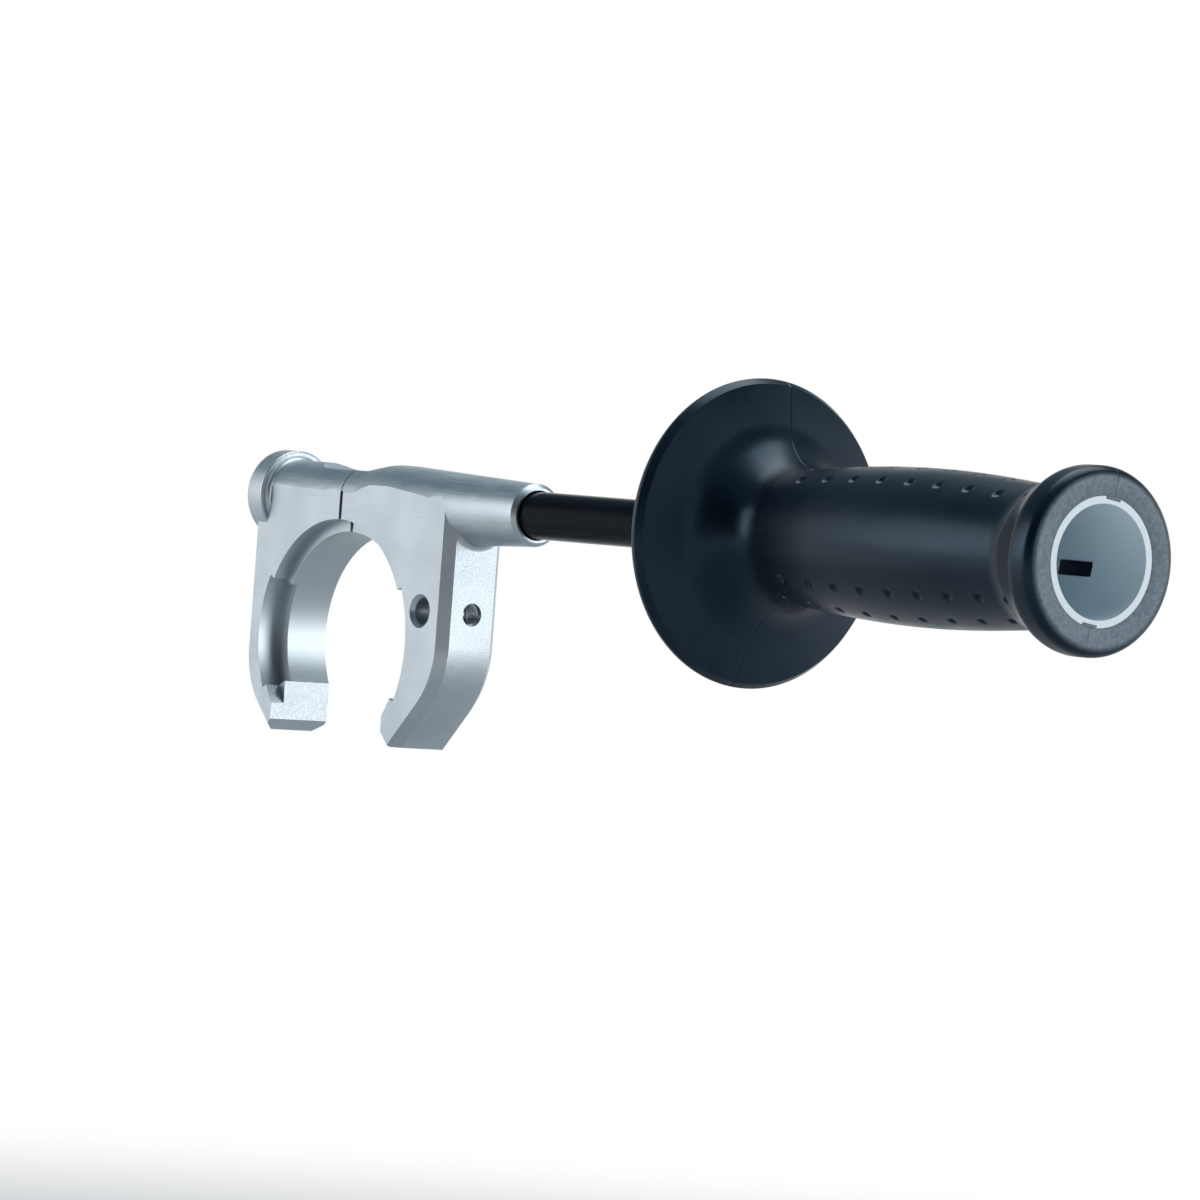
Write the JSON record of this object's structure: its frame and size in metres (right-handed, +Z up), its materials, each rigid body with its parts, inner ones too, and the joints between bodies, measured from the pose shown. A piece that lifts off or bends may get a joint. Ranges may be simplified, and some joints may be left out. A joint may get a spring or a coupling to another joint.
{
  "type": "power tool side handle",
  "caption": "Side handle for a hand-held power tool: a cast clamp for the tool's neck, a steel rod and a hollow rubber-covered grip with a hand guard, tightened by turning the grip.",
  "frame": {"origin": "centre of the clamp that holds the tool's round neck, halfway through its thickness", "axes": "+X along the handle from the clamp towards the end of the grip; +Y along the tool's spindle, back towards the tool's body; +Z up, towards the handle's axis above the clamp"},
  "size_m": [0.3297, 0.0756, 0.0995],
  "materials": {
    "cast_metal": "satin cast, cool blue-grey, machined bright in the bores",
    "bolt_steel": "plated",
    "washer_steel": "plain",
    "black_rod": "gloss black",
    "white_plastic": "satin, slightly cool white",
    "dark_rubber": "satin, dark navy-black"
  },
  "bodies": {
    "arm": {"clamp_arm": "cast_metal", "thrust_washer": "washer_steel"},
    "jaw": {"end_jaw": "cast_metal", "clamp_bolt": "bolt_steel"},
    "handle": {"handle_rod": "black_rod", "grip_core": "white_plastic", "rubber_grip": "dark_rubber"}
  },
  "joints": [
    {"name": "grip_turn", "type": "hinge", "parent": "arm", "child": "handle", "pos_m": [0.1, 0, 0.0355], "axis": [1, 0, 0], "range_deg": [0, 1800]},
    {"name": "jaw_slide", "type": "slide", "parent": "arm", "child": "jaw", "axis": [-1, 0, 0], "range_m": [0, 0.00625]}
  ],
  "couplings": [
    {"joint": "jaw_slide", "follows": "grip_turn", "m_per_rad": 0.00019894}
  ]
}
